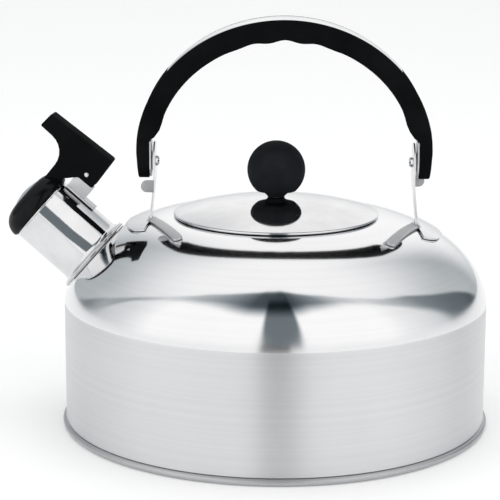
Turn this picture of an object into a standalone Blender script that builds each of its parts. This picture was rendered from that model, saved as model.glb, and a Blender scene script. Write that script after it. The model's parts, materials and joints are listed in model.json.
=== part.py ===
"""A stovetop whistling kettle: body, bail handle on brackets, lift-off lid, and a pull-off whistle
whose sprung cap is opened by a finger lever.

The origin is the centre of the flat base. +Z is up, the spout points to -X, and the handle
bridges the lid a few degrees off X. All sizes are metres.
"""

from math import atan2, cos, pi, radians, sin, sqrt

import bmesh
import bpy
from mathutils import Matrix, Vector

MM = 0.001

# General
SHEET = 0.8 * MM  # every pressed stainless sheet
GAP = 0.3 * MM  # between neighbouring pieces that touch
ROUND = 48  # sides of the large turned pieces
SMALL_ROUND = 32

# Body
BODY_RADIUS = 110 * MM
WALL_TOP = 64.5 * MM  # height where the straight wall turns into the dome
DOME_TOP = 109.7 * MM
DOME_CENTRE_RADIUS = 47 * MM  # where the dome is level
DOME_POWER = 1.9
MOUTH_RADIUS = 48 * MM
MOUTH_CURL = 3.6 * MM
BASE_BEAD = 1.8 * MM  # how far the rolled bead stands out of the wall
BEAD_HEIGHT = 3.7 * MM
BASE_UPSTAND = 9 * MM
BASE_SHEET = 1.0 * MM

# Spout and whistle, in the plane y = 0: u runs inwards along the spout, n square to it, upwards
SPOUT_SLOPE = radians(40.9)
PIN_X = -99 * MM
PIN_Z = DOME_TOP + 18.8 * MM
PIN_TO_AXIS = 31.0 * MM
SLEEVE_RADIUS = 18.6 * MM
SLEEVE_LENGTH = 35.6 * MM
CAP_FACE = -6.8 * MM  # u of the cap's rear face
FLANGE_RADIUS = 21.9 * MM
SPIGOT_RADIUS = 15.6 * MM
SPIGOT_LENGTH = 11 * MM
SPIGOT_CLEARANCE = 0.4 * MM
PIN_RADIUS = 1.3 * MM
PIN_CLEARANCE = 0.2 * MM
CAP_RADIUS = 19.8 * MM
CAP_DEPTH = 10.4 * MM
CAP_WALL = 1.7 * MM
DISC_RADIUS = 10.2 * MM
DISC_CROWN = 2.0 * MM
WHISTLE_HOLE = 1.8 * MM
LEVER_WIDTH = 9.8 * MM
LEVER_REACH = 34.8 * MM
LEVER_TOP = 14.8 * MM
STIRRUP_WIDTH = 6.4 * MM
SLOT_CLEARANCE = 0.4 * MM
SPRING_WIRE = 0.3 * MM
SPRING_RADIUS = 2.2 * MM
SPRING_TURNS = 4

# Lid and knob
LID_RADIUS = 53.2 * MM
LID_CROWN = 9.1 * MM  # height of the lid's crown above the dome
LID_EDGE = 1.2 * MM
SKIRT_DEPTH = 9 * MM
SKIRT_CLEARANCE = 0.6 * MM
KNOB_RADIUS = 15 * MM
KNOB_FLAT_RADIUS = 10.3 * MM
COLLAR_HEIGHT = 2.9 * MM
COLLAR_RADIUS = 5.65 * MM
SCREW_RADIUS = 1.9 * MM
SCREW_LENGTH = 16 * MM

# Handle
HANDLE_TURN = radians(6)  # about Z, out of the spout's plane
HANDLE_X = 4 * MM  # the handle's centre, off the lid's axis
HANDLE_SPAN = 75.8 * MM  # half of its outer width
HANDLE_RISE = 73.8 * MM  # black top above the pivot
HANDLE_DEPTH = 10.7 * MM  # thickness from the outer to the inner arch
HANDLE_WIDTH = 24 * MM
PIVOT_Z = DOME_TOP + 27.8 * MM
ARCH_BASE = 5.5 * MM  # ellipse centre above the pivot
LEG_END_RADIUS = 8.8 * MM
NOTCH_HEIGHT = 12.2 * MM
FINGER_WAVE = 0.7 * MM
FINGER_PITCH = 17 * MM
STRIP_WIDTH = 20 * MM
STRIP_CROWN = 1.0 * MM
STRIP_SEAT = 1.0 * MM
STRIP_REACH = radians(52)

# Brackets
BRACKET_SPAN = 66.8 * MM  # middle of the upright at the pivot, from the handle's centre
BRACKET_LEAN = 2 * MM
BRACKET_WIDTH = 20 * MM
FOOT_REACH = 12.8 * MM
FOOT_WIDTH = 52 * MM
FOOT_SHEET = 1.0 * MM
ARM_INWARD = 16 * MM
ARM_ALONG = 48 * MM
ARM_WIDTH = 4.8 * MM
TAB_TOP = 8.6 * MM  # below the pivot
TAB_HEIGHT = 6.2 * MM
TAB_REACH = 6.6 * MM
RIVET_RADIUS = 2 * MM
RIVET_HEAD_RADIUS = 3 * MM
RIVET_CLEARANCE = 0.25 * MM
WASHER_THICKNESS = 0.5 * MM

BRACKET_OUTER = BRACKET_SPAN + SHEET / 2
TANG_INNER = BRACKET_OUTER + GAP + WASHER_THICKNESS + GAP
NOTCH_FACE = TANG_INNER + SHEET + GAP
MOUTH_HEIGHT = DOME_TOP
FLANGE_U = CAP_FACE + GAP + SLEEVE_LENGTH
NECK_U = FLANGE_U + SHEET + GAP
FACET_U = NECK_U + SHEET + GAP

STEEL = ("polished_steel", (0.80, 0.80, 0.81), 0.08, 1.0)
SATIN = ("satin_steel", (0.72, 0.72, 0.73), 0.32, 1.0)
BLACK = ("black_phenolic", (0.012, 0.012, 0.013), 0.35, 0.0)
MATTE = ("black_matte", (0.020, 0.021, 0.022), 0.55, 0.0)
BRASS = ("brass", (0.75, 0.58, 0.30), 0.30, 1.0)


def clear_scene():
    for obj in list(bpy.data.objects):
        bpy.data.objects.remove(obj, do_unlink=True)


def new_collection(name):
    made = bpy.data.collections.new(name)
    bpy.context.scene.collection.children.link(made)
    return made


def material(finish):
    name, colour, roughness, metallic = finish
    found = bpy.data.materials.get(name)
    if found:
        return found
    made = bpy.data.materials.new(name)
    made.use_nodes = True
    shader = made.node_tree.nodes["Principled BSDF"]
    shader.inputs["Base Color"].default_value = (*colour, 1)
    shader.inputs["Roughness"].default_value = roughness
    shader.inputs["Metallic"].default_value = metallic
    return made


def empty(name, location, rotation=(0, 0, 0), parent=None):
    made = bpy.data.objects.new(name, None)
    made.parent = parent
    made.location = location
    made.rotation_euler = rotation
    PARTS.objects.link(made)
    return made


def as_part(obj, finish, parent=None):
    """Puts an object among the kettle's parts."""
    obj.data.materials.clear()
    obj.data.materials.append(material(finish))
    obj.parent = parent
    PARTS.objects.link(obj)
    if obj.type == "MESH":
        obj.data.shade_smooth()
        obj.data.set_sharp_from_angle(angle=radians(35))
    return obj


def as_cutter(obj, parent=None):
    obj.parent = parent
    obj.hide_render = True
    obj.display_type = "WIRE"
    CUTTERS.objects.link(obj)
    return obj


def turned(name, outline, sides=ROUND, closed=True):
    """A turned shape about Z, from an outline of (radius, height) that runs down its outer side."""
    mesh = bpy.data.meshes.new(name)
    points = [(radius, 0, height) for radius, height in outline]
    edges = [(i, i + 1) for i in range(len(points) - 1)]
    if closed:
        edges.append((len(points) - 1, 0))
    mesh.from_pydata(points, edges, [])
    obj = bpy.data.objects.new(name, mesh)
    spin = obj.modifiers.new("Turn", "SCREW")
    spin.angle = 2 * pi
    spin.steps = sides
    spin.render_steps = sides
    spin.use_merge_vertices = True
    spin.merge_threshold = 0.00001
    spin.use_smooth_shade = True
    return obj


def evaluated_mesh(obj):
    """A new mesh of what the object looks like with its modifiers, caps welded."""
    linked = bool(obj.users_collection)
    if not linked:
        CUTTERS.objects.link(obj)
    bpy.context.view_layer.update()
    graph = bpy.context.evaluated_depsgraph_get()
    mesh = bpy.data.meshes.new_from_object(obj.evaluated_get(graph), depsgraph=graph)
    work = bmesh.new()
    work.from_mesh(mesh)
    bmesh.ops.remove_doubles(work, verts=work.verts, dist=0.000001)
    work.to_mesh(mesh)
    work.free()
    return mesh


def solid_from(obj, name, turn=None):
    """Replaces a curve or a modified object by a plain mesh object."""
    mesh = evaluated_mesh(obj)
    if turn:
        mesh.transform(turn)
    made = bpy.data.objects.new(name, mesh)
    bpy.data.objects.remove(obj, do_unlink=True)
    made.name = name
    mesh.name = name
    return made


def plate(name, outline, thickness, turn=None):
    """A flat closed outline in XY, thickened equally to both sides along Z, then turned."""
    curve = bpy.data.curves.new(name, "CURVE")
    curve.dimensions = "2D"
    curve.fill_mode = "BOTH"
    curve.extrude = thickness / 2
    spline = curve.splines.new("POLY")
    spline.points.add(len(outline) - 1)
    for point, (x, y) in zip(spline.points, outline):
        point.co = (x, y, 0, 1)
    spline.use_cyclic_u = True
    return solid_from(bpy.data.objects.new(name + "_outline", curve), name, turn)


def boolean(obj, other, operation="DIFFERENCE"):
    step = obj.modifiers.new(operation.title(), "BOOLEAN")
    step.operation = operation
    step.object = other
    step.solver = "EXACT"
    return step


def bevel(obj, width, segments=2, angle=50):
    step = obj.modifiers.new("Bevel", "BEVEL")
    step.width = width
    step.segments = segments
    step.limit_method = "ANGLE"
    step.angle_limit = radians(angle)
    return step


def bar(name, radius, start, end, sides=SMALL_ROUND):
    """A round cutter between two heights on Z."""
    return turned(name, [(0, end), (radius, end), (radius, start), (0, start)], sides, closed=False)


def arc(centre, radius, start, end, count):
    """Points on a circle, with angles in degrees."""
    x, y = centre
    steps = [radians(start + (end - start) * i / (count - 1)) for i in range(count)]
    return [(x + radius * cos(t), y + radius * sin(t)) for t in steps]


SIDE_VIEW = Matrix.Rotation(pi / 2, 4, "X")  # an outline in XY stands up in XZ
END_VIEW = Matrix(((0, 0, 1, 0), (1, 0, 0, 0), (0, 1, 0, 0), (0, 0, 0, 1)))  # XY becomes YZ


def dome_height(radius):
    """Height of the dome's outer surface at a radius."""
    share = max(radius - DOME_CENTRE_RADIUS, 0) / (BODY_RADIUS - DOME_CENTRE_RADIUS)
    return WALL_TOP + (DOME_TOP - WALL_TOP) * max(1 - share**DOME_POWER, 0) ** (1 / DOME_POWER)


def dome_points(inner, count):
    """(radius, height) points down the dome, closer together where it bends most."""
    start = (inner - DOME_CENTRE_RADIUS) / (BODY_RADIUS - DOME_CENTRE_RADIUS)
    shares = [start + (1 - start) * sin(pi / 2 * i / count) for i in range(count + 1)]
    radii = [DOME_CENTRE_RADIUS + share * (BODY_RADIUS - DOME_CENTRE_RADIUS) for share in shares]
    return [(radius, dome_height(radius)) for radius in radii]


def on_spout(u, n):
    """World place of a point in the spout's own plane."""
    x = PIN_X + u * cos(SPOUT_SLOPE) + n * sin(SPOUT_SLOPE)
    z = PIN_Z - u * sin(SPOUT_SLOPE) + n * cos(SPOUT_SLOPE)
    return Vector((x, 0, z))


def flattened(mesh, point, outward):
    """Presses the part of a surface beyond a plane flat onto that plane."""
    work = bmesh.new()
    work.from_mesh(mesh)
    faces = work.verts[:] + work.edges[:] + work.faces[:]
    bmesh.ops.bisect_plane(work, geom=faces, dist=0.000001, plane_co=point, plane_no=outward)
    for vert in work.verts:
        beyond = (vert.co - point).dot(outward)
        if beyond > 0:
            vert.co -= outward * beyond
    bmesh.ops.recalc_face_normals(work, faces=work.faces)
    work.to_mesh(mesh)
    work.free()


def make_body():
    curl = [(MOUTH_RADIUS, MOUTH_HEIGHT - MOUTH_CURL), (MOUTH_RADIUS, MOUTH_HEIGHT - 1.2 * MM)]
    curl += [(MOUTH_RADIUS + 0.5 * MM, MOUTH_HEIGHT - 0.3 * MM)]
    wall = [(BODY_RADIUS, WALL_TOP / 2), (BODY_RADIUS, BEAD_HEIGHT + GAP)]
    outline = curl + dome_points(MOUTH_RADIUS + 2 * MM, 9) + wall
    shell = solid_from(turned("body_surface", outline, closed=False), "body_shell")
    outward = Vector((-cos(SPOUT_SLOPE), 0, sin(SPOUT_SLOPE)))
    flattened(shell.data, on_spout(FACET_U, -PIN_TO_AXIS), outward)
    as_part(shell, SATIN)
    sheet = shell.modifiers.new("Sheet", "SOLIDIFY")
    sheet.thickness = SHEET
    sheet.offset = -1
    hole_radius = SPIGOT_RADIUS + SPIGOT_CLEARANCE + SHEET + GAP
    hole = bar("spout_hole", hole_radius, FACET_U - 6 * MM, FACET_U + 9 * MM)
    boolean(shell, as_cutter(hole, SPOUT_AXIS))


def make_base():
    inner = BODY_RADIUS - SHEET - GAP
    bead_radius = BEAD_HEIGHT / 2
    bead_centre = (BODY_RADIUS + BASE_BEAD - bead_radius, BEAD_HEIGHT - bead_radius)
    bead = arc(bead_centre, bead_radius, 90, -60, 5)
    outline = [(0, BASE_SHEET), (inner - 2.2 * MM, BASE_SHEET), (inner - SHEET, 2.4 * MM)]
    outline += [(inner - SHEET, BASE_UPSTAND), (inner, BASE_UPSTAND), (inner, BEAD_HEIGHT)]
    outline += bead + [(inner - 1 * MM, 0), (0, 0)]
    as_part(turned("base_pan", outline, closed=False), SATIN)


def make_spout_neck():
    inner = SPIGOT_RADIUS + SPIGOT_CLEARANCE
    inside = FACET_U + SPIGOT_LENGTH
    outline = [(inner, inside), (inner + SHEET, inside), (inner + SHEET, NECK_U + SHEET)]
    outline += [(FLANGE_RADIUS, NECK_U + SHEET), (FLANGE_RADIUS, NECK_U), (inner, NECK_U)]
    as_part(turned("spout_neck", outline, 48), STEEL, SPOUT_AXIS)


def capsule(start, end, radius):
    """Outline of a strip with round ends."""
    along = Vector(end) - Vector(start)
    turn = Vector((1, 0)).angle_signed(along)
    heading = -turn * 180 / pi
    points = arc(end, radius, heading - 90, heading + 90, 7)
    return points + arc(start, radius, heading + 90, heading + 270, 7)


def foot_outline(base, side):
    """Plan of the bracket's outward foot: a half oval that flares from the upright."""
    half = FOOT_WIDTH / 2
    oval = arc((0, 0), 1, -82, 82, 15)
    points = [(base - 0.5 * MM, -BRACKET_WIDTH / 2 + 1 * MM)]
    points += [(base + FOOT_REACH * x, half * y) for x, y in oval]
    points += [(base - 0.5 * MM, BRACKET_WIDTH / 2 - 1 * MM)]
    return [(HANDLE_X + side * x, y) for x, y in points]


def make_bracket(name, side):
    """The pressed bracket: upright, outward foot, an arm in front beside the lid and a stop tab."""
    base = BRACKET_SPAN + BRACKET_LEAN
    shoulder = dome_height(abs(HANDLE_X + side * base))
    low = GAP + FOOT_SHEET / 2
    inner, outer = 44 * MM, 96 * MM
    radii = [inner + (outer - inner) * i / 14 for i in range(15)]
    upper = [(r, dome_height(r) + GAP + FOOT_SHEET) for r in radii]
    lower = [(r, dome_height(r) + GAP) for r in reversed(radii)]
    layer = turned(name, upper + lower)

    plan_turn = Matrix.Translation((0, 0, shoulder))
    foot = plate(name + "_foot", foot_outline(base, side), 40 * MM, plan_turn)
    feet = as_cutter(foot, HANDLE_FRAME)
    start = (HANDLE_X + side * (base - 0.4 * MM), (ARM_WIDTH - BRACKET_WIDTH) / 2)
    end = (HANDLE_X + side * (base - ARM_INWARD), -ARM_ALONG)
    arm = plate(name + "_arm", capsule(start, end, ARM_WIDTH / 2), 39 * MM, plan_turn)
    boolean(feet, as_cutter(arm, HANDLE_FRAME), "UNION")

    half = SHEET / 2
    bend = PIVOT_Z - LEG_END_RADIUS - 1.5 * MM
    top = PIVOT_Z + BRACKET_WIDTH / 2
    spine = [(base - half, shoulder + low), (base + half, shoulder + low)]
    spine += [(BRACKET_SPAN + half, bend), (BRACKET_SPAN + half, top)]
    spine += [(BRACKET_SPAN - half, top), (BRACKET_SPAN - half, bend)]
    spine = [(HANDLE_X + side * x, z) for x, z in spine]
    upright = as_cutter(plate(name + "_upright", spine, BRACKET_WIDTH, SIDE_VIEW), HANDLE_FRAME)
    face = [(-BRACKET_WIDTH / 2, 0), (BRACKET_WIDTH / 2, 0)]
    face += arc((0, PIVOT_Z), BRACKET_WIDTH / 2 - 0.01 * MM, 0, 180, 17)
    across = Matrix.Translation((HANDLE_X + side * BRACKET_SPAN, 0, 0)) @ END_VIEW
    face = plate(name + "_face", face, 30 * MM, across)
    boolean(upright, as_cutter(face, HANDLE_FRAME), "INTERSECT")

    tab_middle = PIVOT_Z - TAB_TOP - TAB_HEIGHT / 2
    rounded = arc((BRACKET_SPAN + TAB_REACH - TAB_HEIGHT / 2, tab_middle), TAB_HEIGHT / 2, -90, 90, 9)
    root = [(BRACKET_SPAN, tab_middle + TAB_HEIGHT / 2), (BRACKET_SPAN, tab_middle - TAB_HEIGHT / 2)]
    tab_outline = [(HANDLE_X + side * x, z) for x, z in rounded + root]
    tab_y = side * (BRACKET_WIDTH / 2 + SHEET / 2 - 0.1 * MM)
    tab_turn = Matrix.Translation((0, tab_y, 0)) @ SIDE_VIEW
    tab = as_cutter(plate(name + "_tab", tab_outline, SHEET, tab_turn), HANDLE_FRAME)

    as_part(layer, STEEL, HANDLE_FRAME)
    boolean(layer, feet, "INTERSECT")
    boolean(layer, upright, "UNION")
    boolean(layer, tab, "UNION")
    boolean(layer, rivet_hole(name + "_hole", side))


def rivet_axis(obj, side):
    """Lays a piece turned about Z along the pivot, with its +Z pointing out to its side."""
    obj.parent = HANDLE_FRAME
    obj.location = (HANDLE_X, 0, PIVOT_Z)
    obj.rotation_euler = (0, side * pi / 2, 0)
    return obj


def rivet_hole(name, side):
    radius = RIVET_RADIUS + RIVET_CLEARANCE
    return rivet_axis(as_cutter(bar(name, radius, BRACKET_SPAN - 5 * MM, BRACKET_SPAN + 2 * MM)), side)


def rivet_end():
    return NOTCH_FACE + 3.4 * MM


def make_rivet(name, side):
    """A domed head inside the bracket and a shank that reaches into the handle's leg."""
    face = BRACKET_SPAN - SHEET / 2 - GAP
    outline = [(0, rivet_end()), (RIVET_RADIUS, rivet_end()), (RIVET_RADIUS, face)]
    outline += [(RIVET_HEAD_RADIUS, face), (RIVET_HEAD_RADIUS * 0.93, face - 0.9 * MM)]
    outline += [(RIVET_HEAD_RADIUS * 0.6, face - 1.7 * MM), (0, face - 2 * MM)]
    rivet_axis(as_part(turned(name, outline, 24, closed=False), STEEL), side)


def make_washer(name, side):
    low = BRACKET_OUTER + GAP
    high = low + WASHER_THICKNESS
    bore = RIVET_RADIUS + RIVET_CLEARANCE
    outline = [(bore, high), (2.2 * bore, high), (2.2 * bore, low), (bore, low)]
    rivet_axis(as_part(turned(name, outline, 24), STEEL), side)


def arch(half_width, height, start, end, count, wave=0.0):
    """Points on a half ellipse over the pivot, from one angle to another in degrees from +X."""
    points = []
    for i in range(count):
        t = radians(start + (end - start) * i / (count - 1))
        x = half_width * cos(t)
        z = ARCH_BASE + height * sin(t)
        reach = 2.3 * FINGER_PITCH
        if wave and z > ARCH_BASE and abs(x) < reach:
            z += wave * cos(2 * pi * x / FINGER_PITCH) * cos(pi / 2 * x / reach) ** 2
        points.append((x, z))
    return points


def grip_outline():
    """Side view of the handle about its pivot: outer arch, two legs with notches, inner arch."""
    outer_height = HANDLE_RISE - ARCH_BASE
    inner_width = HANDLE_SPAN - HANDLE_DEPTH
    inner_height = outer_height - HANDLE_DEPTH
    corner = 1.5 * MM
    foot = -LEG_END_RADIUS
    heel = HANDLE_SPAN - 0.9 * MM
    right = [(NOTCH_FACE, NOTCH_HEIGHT), (NOTCH_FACE, foot)]
    right += [(heel - corner, foot), (heel - 0.3 * corner, foot + 0.3 * corner), (heel, foot + corner)]
    left = [(-x, z) for x, z in reversed(right)]
    knee = [(inner_width + 2.2 * MM, NOTCH_HEIGHT + 1.1 * MM)]
    knee += [(inner_width + 0.4 * MM, NOTCH_HEIGHT + 2.2 * MM)]
    inner = arch(inner_width, inner_height, 168, 12, 47, FINGER_WAVE)
    outer = arch(HANDLE_SPAN, outer_height, 0, 180, 37)
    return outer + left + [(-x, z) for x, z in knee] + inner + list(reversed(knee)) + right


def make_grip():
    grip = plate("handle_grip", grip_outline(), HANDLE_WIDTH, SIDE_VIEW)
    as_part(grip, BLACK, PIVOT)
    bevel(grip, 2 * MM, 2, 65)

    end = LEG_END_RADIUS
    half = HANDLE_WIDTH / 2 + 1 * MM
    top = HANDLE_RISE + 10 * MM
    side_view = arc((0, 0), end, 180, 360, 13) + [(end, end), (half, 2.6 * end), (half, top)]
    side_view += [(-half, top), (-half, 2.6 * end), (-end, end)]
    boolean(grip, as_cutter(plate("leg_shape", side_view, 4 * HANDLE_SPAN, END_VIEW), PIVOT), "INTERSECT")

    groove = arch_band(-STRIP_SEAT - GAP, 8 * MM, 8 * MM, STRIP_REACH + radians(0.6))
    groove = plate("strip_groove", groove, STRIP_WIDTH + 2 * GAP, SIDE_VIEW)
    boolean(grip, as_cutter(groove, PIVOT))
    for name, side in SIDES:
        radius = RIVET_RADIUS + RIVET_CLEARANCE
        bore = bar("leg_bore_" + name, radius, NOTCH_FACE - 4 * MM, rivet_end() + GAP)
        boolean(grip, rivet_axis(as_cutter(bore), side))


def arch_band(low, high_side, high_top, reach):
    """Outline of a band that follows the handle's outer arch, between two offsets from it."""
    height = HANDLE_RISE - ARCH_BASE
    start = 90 - reach * 180 / pi
    under = arch(HANDLE_SPAN + low, height + low, start, 180 - start, 29)
    over = arch(HANDLE_SPAN + high_side, height + high_top, 180 - start, start, 29)
    return under + over


def make_strip():
    outline = arch_band(-STRIP_SEAT, 0.6 * MM, STRIP_CROWN, STRIP_REACH)
    strip = as_part(plate("handle_strip", outline, STRIP_WIDTH, SIDE_VIEW), STEEL, PIVOT)
    bevel(strip, 0.7 * MM, 2, 65)


def make_tang(name, side):
    """The steel plate on the notch of each leg, which the rivet runs in."""
    radius = LEG_END_RADIUS - 0.6 * MM
    outline = arc((0, 0), radius, 180, 360, 15)
    outline += [(radius, NOTCH_HEIGHT - 1 * MM), (-radius, NOTCH_HEIGHT - 1 * MM)]
    across = Matrix.Translation((side * (TANG_INNER + SHEET / 2), 0, 0)) @ END_VIEW
    tang = as_part(plate(name, outline, SHEET, across), STEEL, PIVOT)
    bore = bar(name + "_hole", RIVET_RADIUS + RIVET_CLEARANCE, TANG_INNER - 2 * MM, NOTCH_FACE)
    boolean(tang, rivet_axis(as_cutter(bore), side))


def lid_height(radius):
    """Top of the lid above the dome's crown."""
    drop = (LID_CROWN - LID_EDGE) * (radius / LID_RADIUS) ** 2
    return LID_CROWN - drop


def make_lid():
    hole = SCREW_RADIUS + 0.4 * MM
    radii = [hole + (LID_RADIUS - 1 * MM - hole) * i / 5 for i in range(6)]
    rim = [(LID_RADIUS - 0.3 * MM, LID_EDGE - 0.3 * MM), (LID_RADIUS, LID_EDGE / 2 + 0.1 * MM)]
    lip = LID_RADIUS - 1.6 * MM
    rim += [(LID_RADIUS - 0.3 * MM, 0.1 * MM), (lip, 0.1 * MM), (lip, lid_height(lip) - SHEET)]
    top = [(r, lid_height(r)) for r in radii]
    under = [(r, lid_height(r) - SHEET) for r in reversed(radii[:-1])]
    as_part(turned("lid_shell", top + rim + under), STEEL, LID)

    outer = MOUTH_RADIUS - SKIRT_CLEARANCE
    high = lid_height(outer) - SHEET - GAP
    ring = [(outer - 4 * MM, high), (outer, high), (outer, high - SKIRT_DEPTH)]
    ring += [(outer - SHEET, high - SKIRT_DEPTH), (outer - SHEET, high - SHEET)]
    ring += [(outer - 4 * MM, high - SHEET)]
    as_part(turned("lid_skirt", ring), STEEL, LID)


def make_knob():
    bore = SCREW_RADIUS + 0.4 * MM
    seat = LID_CROWN + GAP
    collar = [(bore, seat + COLLAR_HEIGHT), (COLLAR_RADIUS, seat + COLLAR_HEIGHT)]
    collar += [(COLLAR_RADIUS, seat + 0.45 * COLLAR_HEIGHT)]
    collar += [(0.82 * COLLAR_RADIUS, seat + 0.3 * COLLAR_HEIGHT)]
    collar += [(0.80 * COLLAR_RADIUS, seat), (bore, seat)]
    as_part(turned("knob_collar", collar, SMALL_ROUND), MATTE, LID)

    flat = seat + COLLAR_HEIGHT + GAP
    centre = flat + sqrt(KNOB_RADIUS**2 - KNOB_FLAT_RADIUS**2)
    insert_outer = SCREW_RADIUS + 2 * MM
    insert_top = flat + 10 * MM
    low_angle = atan2(flat - centre, KNOB_FLAT_RADIUS) * 180 / pi
    ball = arc((0, centre), KNOB_RADIUS, 90, low_angle, 15)
    ball[0] = (0, centre + KNOB_RADIUS)
    hollow = [(insert_outer + GAP, flat), (insert_outer + GAP, insert_top + GAP)]
    hollow += [(0, insert_top + GAP)]
    as_part(turned("lid_knob", ball + hollow, SMALL_ROUND, closed=False), MATTE, LID)

    insert = [(bore, insert_top), (insert_outer, insert_top), (insert_outer, flat), (bore, flat)]
    as_part(turned("knob_insert", insert, 24), BRASS, LID)

    under = LID_CROWN - SHEET - GAP
    washer = [(bore, under), (6 * MM, under), (6 * MM, under - SHEET), (bore, under - SHEET)]
    as_part(turned("knob_washer", washer, 24), STEEL, LID)
    head = under - SHEET - GAP
    screw = [(0, head + SCREW_LENGTH), (SCREW_RADIUS, head + SCREW_LENGTH), (SCREW_RADIUS, head)]
    screw += [(2.1 * SCREW_RADIUS, head), (1.9 * SCREW_RADIUS, head - 1.6 * MM), (0, head - 2 * MM)]
    as_part(turned("knob_screw", screw, 24, closed=False), STEEL, LID)


def make_sleeve():
    """The whistle's tube: open mouth, a flange that meets the neck's, and a spigot inside it."""
    mouth = CAP_FACE + GAP
    end = FACET_U + SPIGOT_LENGTH - 1 * MM
    outline = [(SPIGOT_RADIUS - SHEET, end), (SPIGOT_RADIUS, end)]
    outline += [(SPIGOT_RADIUS, FLANGE_U + SHEET)]
    outline += [(FLANGE_RADIUS, FLANGE_U + SHEET), (FLANGE_RADIUS, FLANGE_U), (SLEEVE_RADIUS, FLANGE_U)]
    outline += [(SLEEVE_RADIUS, mouth), (SLEEVE_RADIUS - SHEET, mouth)]
    outline += [(SLEEVE_RADIUS - SHEET, FLANGE_U - SHEET), (SPIGOT_RADIUS - SHEET, FLANGE_U)]
    as_part(turned("whistle_sleeve", outline, 48), STEEL, SPOUT_AXIS)


def make_stirrup():
    """The hinge bracket on the sleeve: a base strap with two cheeks that hold the pin."""
    base = SLEEVE_RADIUS + GAP - PIN_TO_AXIS
    top_radius = 3.0 * MM
    front, back, strap_end = -4.2 * MM, 7.3 * MM, 14.8 * MM
    cheek = [(front, base), (back, base), (back, -4.2 * MM)] + arc((0, 0), top_radius, 0, 180, 9)
    cheek += [(front, -3 * MM)]
    cheeks = plate("hinge_bracket", cheek, STIRRUP_WIDTH, SIDE_VIEW)
    as_part(cheeks, STEEL, LEVER)
    inside = [(-20 * MM, base + SHEET), (20 * MM, base + SHEET)]
    inside += [(20 * MM, 20 * MM), (-20 * MM, 20 * MM)]
    inside = plate("stirrup_inside", inside, STIRRUP_WIDTH - 2 * SHEET, SIDE_VIEW)
    boolean(cheeks, as_cutter(inside, LEVER))
    strap = [(front, base), (strap_end, base)]
    strap += [(strap_end, base + SHEET), (front, base + SHEET)]
    strap = plate("stirrup_strap", strap, STIRRUP_WIDTH + 1.5 * MM, SIDE_VIEW)
    boolean(cheeks, as_cutter(strap, LEVER), "UNION")
    boolean(cheeks, pin_hole("stirrup_hole"))


def pin_hole(name):
    hole = bar(name, PIN_RADIUS + PIN_CLEARANCE, -LEVER_WIDTH, LEVER_WIDTH, 24)
    hole.rotation_euler = (pi / 2, 0, 0)
    return as_cutter(hole, LEVER)


def lever_outline():
    """Side view of the lever about its pin: finger bar, arm and hinge lug."""
    hollow = arc((-27.4 * MM, -7.6 * MM), 11.2 * MM, 90, 0, 8)
    nose = [(-LEVER_REACH, 3.9 * MM)]
    behind = CAP_FACE - 2 * SHEET
    arm = [(-15.6 * MM, -13.5 * MM), (-15.9 * MM, -26 * MM)]
    arm += [(behind, -26 * MM), (behind, -10.9 * MM)]
    lug = [(-7.8 * MM, -7.8 * MM), (-2.6 * MM, -3.6 * MM)]
    lug += [(6.9 * MM, -3.4 * MM), (6.2 * MM, 5.2 * MM)]
    bar_top = [(5.7 * MM, LEVER_TOP), (0.5 * MM - LEVER_REACH, LEVER_TOP - 2.6 * MM)]
    return nose + hollow + arm + lug + bar_top


def make_lever():
    """One black moulding: the cap over the spout's mouth, its arm and the finger bar."""
    front = CAP_FACE - CAP_DEPTH
    shoulder = [(1.0, -1.2), (0.985, -3.4), (0.92, -6.1), (0.83, -8.2), (0.70, -9.7), (0.515, -10.4)]
    outer = [(CAP_RADIUS * r, CAP_FACE + u * MM * CAP_DEPTH / (10.4 * MM)) for r, u in shoulder]
    plate_seat = CAP_RADIUS - CAP_WALL
    chamber = plate_seat - 1.4 * MM
    mouth = DISC_RADIUS + 0.5 * MM
    outline = [(plate_seat, CAP_FACE), (CAP_RADIUS - 0.5 * MM, CAP_FACE)] + outer
    outline += [(mouth, front), (mouth, front + CAP_WALL)]
    outline += [(chamber - 1.5 * MM, front + CAP_WALL), (chamber, front + 2.6 * CAP_WALL)]
    outline += [(chamber, CAP_FACE - 2 * SHEET), (plate_seat, CAP_FACE - 2 * SHEET)]
    cap = solid_from(turned("cap_shape", outline, 48), "whistle_cap_shape")
    cap.rotation_euler = (0, pi / 2, 0)
    cap.location = (0, 0, -PIN_TO_AXIS)

    lever = plate("whistle_lever", lever_outline(), LEVER_WIDTH, SIDE_VIEW)
    as_part(lever, BLACK, LEVER)
    bevel(lever, 0.8 * MM, 2, 50)
    chamber_radius = CAP_RADIUS - CAP_WALL - 2.6 * MM
    chamber_cut = bar("cap_chamber", chamber_radius, front - 1 * MM, CAP_FACE + 1 * MM)
    chamber_cut.rotation_euler = (0, pi / 2, 0)
    chamber_cut.location = (0, 0, -PIN_TO_AXIS)
    boolean(lever, as_cutter(chamber_cut, LEVER))
    boolean(lever, as_cutter(cap, LEVER), "UNION")
    slot_width = STIRRUP_WIDTH + 2 * SLOT_CLEARANCE
    slot = [(-6.6 * MM, -13 * MM), (14 * MM, -13 * MM), (14 * MM, 5 * MM), (-6.6 * MM, 5 * MM)]
    boolean(lever, as_cutter(plate("lever_slot", slot, slot_width, SIDE_VIEW), LEVER))
    boolean(lever, pin_hole("lever_pin_hole"))


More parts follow.
